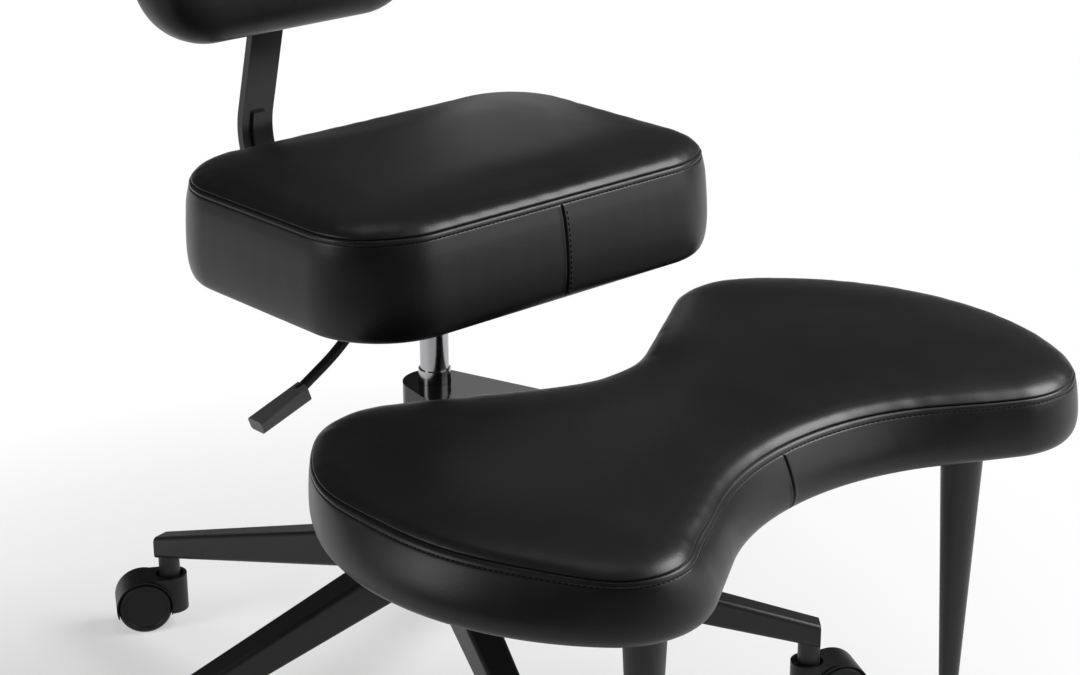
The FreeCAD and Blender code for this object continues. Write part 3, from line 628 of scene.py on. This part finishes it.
def capsule(length, radius, sides=6):
    rows = [(-0.5, 0.0), (-0.46, 0.6), (-0.3, 1.0), (0.3, 1.0), (0.46, 0.6), (0.5, 0.0)]
    points, faces = [], []
    for place, width in rows:
        for k in range(sides):
            angle, out = math.tau * k / sides, radius * width
            points.append((place * length, out * math.cos(angle), out * math.sin(angle)))
    for r in range(len(rows) - 1):
        for k in range(sides):
            a, b = r * sides + k, r * sides + (k + 1) % sides
            faces.append((a, b, b + sides, a + sides))
    return np.array(points), np.array(faces)


def stitch_piece(name, rows):
    # Each row is a list of (place, direction, outward) for its stitches.
    shape, quads = capsule(STITCH_LENGTH, STITCH_RADIUS)
    points, faces = [], []
    for row in rows:
        for place, along, out in row:
            across = np.cross(out, along)
            basis = np.stack([along, across, out])
            faces.append(quads + len(points) * len(shape))
            points.append(shape @ basis + place)
    mesh = bpy.data.meshes.new(name)
    mesh.from_pydata(np.vstack(points).tolist(), [], np.vstack(faces).tolist())
    mesh.shade_smooth()
    mesh.materials.append(thread)
    piece = bpy.data.objects.new(name, mesh)
    bpy.context.scene.collection.objects.link(piece)
    print(name, "stitches", len(points))
    return piece


def seam_row(cushion, inset, height, place):
    # Even places along the cushion's outline, drawn in by inset at one height.
    count = int(cushion.length // STITCH_PITCH)
    at = (np.arange(count) + 0.5) * cushion.length / count
    loop = np.append(cushion.along, cushion.length)

    def along_loop(values):
        closed = np.vstack([values, values[:1]])
        return np.stack([np.interp(at, loop, closed[:, k]) for k in range(closed.shape[1])], 1)

    spots = along_loop(cushion.outline - cushion.outward * inset)
    out = along_loop(cushion.outward)
    out /= np.linalg.norm(out, axis=1)[:, None]
    flat = place(np.column_stack([spots, np.full(count, height)]))
    out = place(np.column_stack([spots + out, np.full(count, height)])) - flat
    out /= np.linalg.norm(out, axis=1)[:, None]
    run = np.roll(flat, -1, 0) - np.roll(flat, 1, 0)
    run /= np.linalg.norm(run, axis=1)[:, None]
    return list(zip(flat, run, out))


def upright_row(cushion, centre, low, high, section, place):
    # A row that runs up the band beside its sewn joint.
    loop = np.append(cushion.along, cushion.length)
    closed = np.vstack([cushion.outline, cushion.outline[:1]])
    outs = np.vstack([cushion.outward, cushion.outward[:1]])
    spot = np.array([np.interp(centre, loop, closed[:, k]) for k in range(2)])
    out = np.array([np.interp(centre, loop, outs[:, k]) for k in range(2)])
    heights = np.arange(low, high, STITCH_PITCH)
    inset = section(heights)
    points = place(np.column_stack([spot - out * inset[:, None], heights]))
    face = place(np.array([[*(spot + out), low]])) - place(np.array([[*spot, low]]))
    face = face[0] / np.linalg.norm(face[0])
    run = np.gradient(points, axis=0)
    run /= np.linalg.norm(run, axis=1)[:, None]
    return [(point, along, face) for point, along in zip(points, run)]


def laid_on(cover, row, lift):
    # Brings each stitch of a row onto the filled cover, with some of its thickness left proud.
    corners = [vertex.co for vertex in cover.data.vertices]
    skin = BVHTree.FromPolygons(corners, [face.vertices for face in cover.data.polygons])
    start = 0.02
    laid = []
    for place, along, out in row:
        spot = skin.ray_cast(Vector(place + start * out), Vector(-out), 3 * start)[0]
        laid.append((place if spot is None else np.array(spot) + lift * out, along, out))
    return laid


# %% [markdown]
# ## The seat cushion
# The seat is the plainest of the three: a rounded rectangle with a deep band, a full crown and one
# upright joint in the middle of its front.

# %% Sew and fill the seat
SEAT_BOTTOM, SEAT_BAND, SEAT_LOWER = 503.0, 94.0, 11.0


def level(points):
    return np.asarray(points) * MM


def band_inset(bottom, band, lower):
    # How far in the band's face lies at any height, as its lower roll has it.
    shares, insets = zip(*LOWER_ROLL)
    insets = np.array(insets) * lower / LOWER_ROLL_INSET
    return lambda heights: np.interp((heights - bottom) / band, shares, insets)


def along_at(cushion, x, y):
    # The distance along the outline of its point nearest to a place.
    return cushion.along[np.argmin(np.linalg.norm(cushion.outline - [x, y], axis=1))]


def ease(values, low, high):
    share = np.clip((values - low) / (high - low), 0, 1)
    return share * share * (3 - 2 * share)


def front_share(cushion):
    # One where the band faces forwards, fading out round the corners.
    return ease(-cushion.outward[:, 1], 0.55, 0.95)


seat_cover = Cushion("seat_leather", seat_outline(), spine=((-120.0, 120.0), -29.0), seed=11)
seat_joint = along_at(seat_cover, 0.0, SEAT_FRONT)
box_section(seat_cover, SEAT_BOTTOM, SEAT_BAND, board=(26.0, 14.0), rise=11.0, roll=10.0, dome=5.0,
            seam_inset=5.0, lower=SEAT_LOWER, joint=band_joint(seat_cover, seat_joint),
            lean=2.0 + 4.0 * front_share(seat_cover))
seat_leather = closed_mesh(seat_cover, level)
seat_swell = swell(seat_leather, seam_and_foot(SEAT_BOTTOM, SEAT_BAND), 0.003)
print("seat cover", len(seat_leather.data.vertices), "swelled by", round(seat_swell, 4))

# %% Stitch the seat
HEM_LIFT, UPRIGHT_LIFT = 0.0002, 0.00025
UPRIGHT_GAP = 4.2
seat_top = SEAT_BOTTOM + SEAT_BAND
seat_hem = seam_row(seat_cover, inset=6.0, height=seat_top - STITCH_DROP, place=level)
seat_upright = upright_row(seat_cover, seat_joint + UPRIGHT_GAP, low=SEAT_BOTTOM + 6.0, high=seat_top - 10.0,
                           section=band_inset(SEAT_BOTTOM, SEAT_BAND, SEAT_LOWER), place=level)
seat_rows = [laid_on(seat_leather, seat_hem, HEM_LIFT), laid_on(seat_leather, seat_upright, UPRIGHT_LIFT)]
seat_stitches = stitch_piece("seat_stitches", seat_rows)

# %% [markdown]
# ## The platform cushion
# The platform has the same make, on a bow-tie outline, so its band runs inwards at both waists. Its
# cover is tight, so the seam lies further in than the foot of the band at the front waist, at the
# shoulder beside it and at the sitter's right end. It hangs on the swivel bracket, which stands a few
# degrees round from the base.

# %% Sew and fill the platform
PLATFORM_BOTTOM, PLATFORM_BAND = 383.0, 56.0
WAIST_LEAN, END_LEAN, SHOULDER_LEAN, FRONT_LEAN = 13.0, 17.0, 7.0, 4.0
LEAN_BLEND = 25.0


def on_bracket(points):
    points = np.asarray(points) * MM
    c, s = math.cos(PLATFORM_TURN), math.sin(PLATFORM_TURN)
    x, y = points[:, 0].copy(), points[:, 1].copy()
    return np.column_stack([x * c - y * s, x * s + y * c, points[:, 2]])


def smoothed(cushion, values, reach):
    # Averages values over nearby places along the outline.
    gap = np.abs(cushion.along[:, None] - cushion.along)
    weights = np.exp(-(np.minimum(gap, cushion.length - gap) / reach) ** 2)
    return weights @ values / weights.sum(1)


def band_lean(cushion):
    # How far the tight cover draws the seam in, all along the outline.
    x = cushion.outline[:, 0]
    facing_x, facing_y = cushion.outward.T
    forwards = ease(-facing_y, 0.2, 0.6)
    waist = (1 - ease(np.abs(x + 55.0), 120.0, 300.0)) * forwards
    end = ease(-facing_x, 0.6, 0.95) * ease(-x, 280.0, 350.0) * (1 - ease(facing_y, 0.1, 0.55))
    shoulder = np.exp(-((x + 222.0) / 42.0) ** 2) * forwards * ease(facing_x, 0.0, 0.5)
    drawn = WAIST_LEAN * waist + END_LEAN * end + SHOULDER_LEAN * shoulder
    return smoothed(cushion, np.maximum(drawn, FRONT_LEAN * front_share(cushion)), LEAN_BLEND)


platform_cover = Cushion("platform_leather", platform_outline(), spine=((-235.0, 235.0), -348.0), seed=23)
platform_joint = along_at(platform_cover, WAIST_SEAM, WAIST_FRONT)
box_section(platform_cover, PLATFORM_BOTTOM, PLATFORM_BAND, board=(24.0, 15.0), rise=9.5, roll=11.5,
            dome=4.0, seam_inset=3.5, lower=13.0, joint=band_joint(platform_cover, platform_joint),
            lean=band_lean(platform_cover))
platform_leather = closed_mesh(platform_cover, on_bracket)
platform_swell = swell(platform_leather, seam_and_foot(PLATFORM_BOTTOM, PLATFORM_BAND), 0.0025)
print("platform cover", len(platform_leather.data.vertices), "swelled by", round(platform_swell, 4))

# %% Stitch the platform
platform_top = PLATFORM_BOTTOM + PLATFORM_BAND
platform_hem = seam_row(platform_cover, inset=3.5, height=platform_top - STITCH_DROP, place=on_bracket)
platform_stitches = stitch_piece("platform_stitches", [laid_on(platform_leather, platform_hem, HEM_LIFT)])

# %% [markdown]
# ## The backrest cushion
# The backrest is a small pill of foam on a board. Its cover is drawn round to the back, so its front
# and sides show no seam, only one smooth round-over.

# %% Cover the backrest
BACK_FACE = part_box("backrest_board")[1][1] / MM
BACK_DEPTH = 56.0
BACK_MIDDLE = (BACK_LOW + BACK_HIGH) / 2
RECESS_INSET, RECESS_DEPTH = 19.7, 10.3
# Depths from the back with the inset there, then the shares of the depth where the front roll starts
# and ends, how far in it ends, and how far on the face still rises.
REAR_ROLL = [(0.0, 14.0), (0.0, 9.0), (0.6, 7.2), (2.0, 5.2), (3.8, 3.6), (6.5, 2.1), (10.0, 0.9),
             (14.0, 0.2)]
ROLL_START, ROLL_END, ROLL_INSET, FACE_RISE = 0.32, 0.98, 50.0, 30.0


def upright(points):
    points = np.asarray(points)
    return np.column_stack([points[:, 0], BACK_FACE - points[:, 2], points[:, 1]]) * MM


def face_depth(gap):
    return BACK_DEPTH * (ROLL_END + (1 - ROLL_END) * np.clip(gap / FACE_RISE, 0, 1))


backrest_cover = Cushion("backrest_leather", backrest_outline(), spine=((-90.0, 90.0), BACK_MIDDLE), seed=37)
rear = backrest_cover.outline - backrest_cover.outward * RECESS_INSET
rear = np.column_stack([rear, np.full(len(rear), RECESS_DEPTH)])
for share in (1.0, 0.66, 0.33):
    backrest_cover.towards_spine(rear, share, lambda gap: RECESS_DEPTH)
for depth in (RECESS_DEPTH, 5.0, 0.0):
    backrest_cover.ring(RECESS_INSET, depth)
for depth, inset in REAR_ROLL:
    backrest_cover.ring(inset, depth)
for turn in np.radians(np.linspace(0, 90, 22)):
    depth = BACK_DEPTH * (ROLL_START + (ROLL_END - ROLL_START) * math.sin(turn))
    face_ring = backrest_cover.ring(ROLL_INSET * (1 - math.cos(turn)) ** 1.4, depth)
for share in (0.2, 0.4, 0.6, 0.8, 1.0):
    backrest_cover.towards_spine(face_ring, share, face_depth)
backrest_leather = closed_mesh(backrest_cover, upright)
rear_held = near_levels([BACK_FACE * MM, BACK_FACE * MM - 0.01], 0.006, axis=1)
backrest_swell = swell(backrest_leather, rear_held, 0.002)
print("backrest cover", len(backrest_leather.data.vertices), "swelled by", round(backrest_swell, 4))

# %% [markdown]
# ## Fitting the covers
# A cover takes the place of the plain cushion in the imported model, which is hidden, and rides on an empty
# for its body, so that it turns, lifts and swings with that body. The stitches ride on the same bodies as
# their covers.

# %% Fit the covers to their bodies
for piece, node, body, fill in ((seat_leather, "seat_cushion", "seat", 0.85),
                                (platform_leather, "platform_cushion", "platform", 0.85),
                                (backrest_leather, "backrest_cushion", "seat", 0.9)):
    piece.data.materials.append(finishes["black_leather"])
    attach(piece, body)
    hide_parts(node)
for piece, body in ((seat_stitches, "seat"), (platform_stitches, "platform")):
    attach(piece, body)
print("covers fitted")

# %% [markdown]
# ## Studio
# The chair stands on a wide pale floor under broad soft lamps. Away from the chair the floor shows
# plain white to the eye, while near the chair it takes light and shade, so that the casters keep their
# soft shadows. In reflections the floor is white too, except far out on the camera's side, which stays
# dim as in a studio, so that leather facing the camera stays black.

# %% Floor
VIEW_ALONG = (0.667, 0.745, 0.0)


def studio_floor():
    floor = Finish("studio_floor")
    tree = floor.tree
    tree.nodes.remove(floor.shader)

    def measure(operation, *others):
        sockets = dict(enumerate((floor.place(), *others)))
        return floor.add("ShaderNodeVectorMath", {"operation": operation}, sockets, output="Value")

    radius = measure("LENGTH")
    depth = measure("DOT_PRODUCT", VIEW_ALONG)
    eye = floor.add("ShaderNodeLightPath", output="Is Camera Ray")
    mirrored = floor.add("ShaderNodeLightPath", output="Is Glossy Ray")
    # About half plain white under the chair, and all of it from 0.95 m out.
    white = floor.fade(radius, 0.45, 0.95, 0.45, 1.0)
    seen = eye + mirrored * floor.fade(depth, -1.2, -0.45, 0.0, 1.0)
    matt = floor.add("ShaderNodeBsdfDiffuse", {}, {"Color": (0.86, 0.86, 0.86)})
    glow = floor.add("ShaderNodeEmission", {}, {"Color": (1.0, 1.0, 1.0), "Strength": 1.0})
    both = floor.add("ShaderNodeMixShader", {}, {0: seen * white, 1: matt, 2: glow})
    tree.links.new(both.socket, floor.output.inputs["Surface"])
    return floor.material


bpy.ops.mesh.primitive_circle_add(vertices=96, radius=14.0, fill_type="NGON")
floor = bpy.context.object
floor.name = "studio_floor"
floor.data.materials.append(studio_floor())
print("floor laid")

# %% Lamps
# Each lamp has a place, the point it looks at, its size in metres and its power in watts. The card
# is small and stands behind the chair, where only the glossy bracket mirrors it.
LAMPS = {
    "right_key": ((1.6, -1.0, 2.1), (0.0, -0.15, 0.45), (1.2, 1.0), 58.0),
    "front_right": ((1.5, -2.0, 1.1), (0.0, -0.2, 0.5), (2.2, 1.3), 20.0),
    "overhead": ((0.0, 0.3, 3.0), (0.0, 0.0, 0.0), (1.2, 1.2), 6.0),
    "back_card": ((0.642, 0.606, 0.745), (0.03, -0.09, 0.37), (0.22, 0.13), 0.11),
    "left_side": ((-2.1, 0.6, 1.3), (0.0, -0.1, 0.5), (0.9, 1.2), 16.0),
}


def soft_lamp(name, place, aim, size, power):
    lamp = bpy.data.lights.new(name, "AREA")
    lamp.shape = "RECTANGLE"
    lamp.size, lamp.size_y = size
    lamp.energy = power
    holder = bpy.data.objects.new(name, lamp)
    holder.location = place
    holder.rotation_euler = (Vector(aim) - Vector(place)).to_track_quat("-Z", "Y").to_euler()
    bpy.context.scene.collection.objects.link(holder)


for name, (place, aim, size, power) in LAMPS.items():
    soft_lamp(name, place, aim, size, power)
bpy.data.objects["back_card"].visible_camera = False
print("lamps", len(LAMPS))

# %% World
# The world is a dim fill, and plain white only where the camera sees it past the floor.
world = bpy.data.worlds.new("studio")
world.use_nodes = True
sky = world.node_tree.nodes
dim, plain = sky["Background"], sky.new("ShaderNodeBackground")
for light, strength in ((dim, 0.08), (plain, 1.0)):
    light.inputs["Color"].default_value = (1.0, 1.0, 1.0, 1.0)
    light.inputs["Strength"].default_value = strength
path, chosen = sky.new("ShaderNodeLightPath"), sky.new("ShaderNodeMixShader")
for source, target in ((path.outputs["Is Camera Ray"], chosen.inputs[0]),
                       (dim.outputs[0], chosen.inputs[1]),
                       (plain.outputs[0], chosen.inputs[2]),
                       (chosen.outputs[0], sky["World Output"].inputs[0])):
    world.node_tree.links.new(source, target)
bpy.context.scene.world = world
print("world ready")

# %% Camera
# The camera was fitted to the photograph: its place, its turn round the chair, its tilt down and roll.
CAMERA_PLACE = (-1.39608, -1.71338, 1.2448)
SENSOR_MM, LENS_MM = 36.0, 81.464

turn, tilt, roll = math.radians(-41.828), math.radians(20.605), math.radians(-0.315)
back = Vector((math.sin(turn) * math.cos(tilt), -math.cos(turn) * math.cos(tilt), math.sin(tilt)))
side = Vector((math.cos(turn), math.sin(turn), 0.0))
rise = back.cross(side)
side, rise = side * math.cos(roll) + rise * math.sin(roll), rise * math.cos(roll) - side * math.sin(roll)
lens = bpy.data.cameras.new("camera")
lens.sensor_width = SENSOR_MM
lens.sensor_fit = "HORIZONTAL"
lens.lens = LENS_MM
camera = bpy.data.objects.new("camera", lens)
camera.matrix_world = Matrix.Translation(CAMERA_PLACE) @ Matrix((side, rise, back)).transposed().to_4x4()
bpy.context.scene.collection.objects.link(camera)
bpy.context.scene.camera = camera
bpy.context.scene.view_settings.view_transform = "Standard"
print("camera ready")
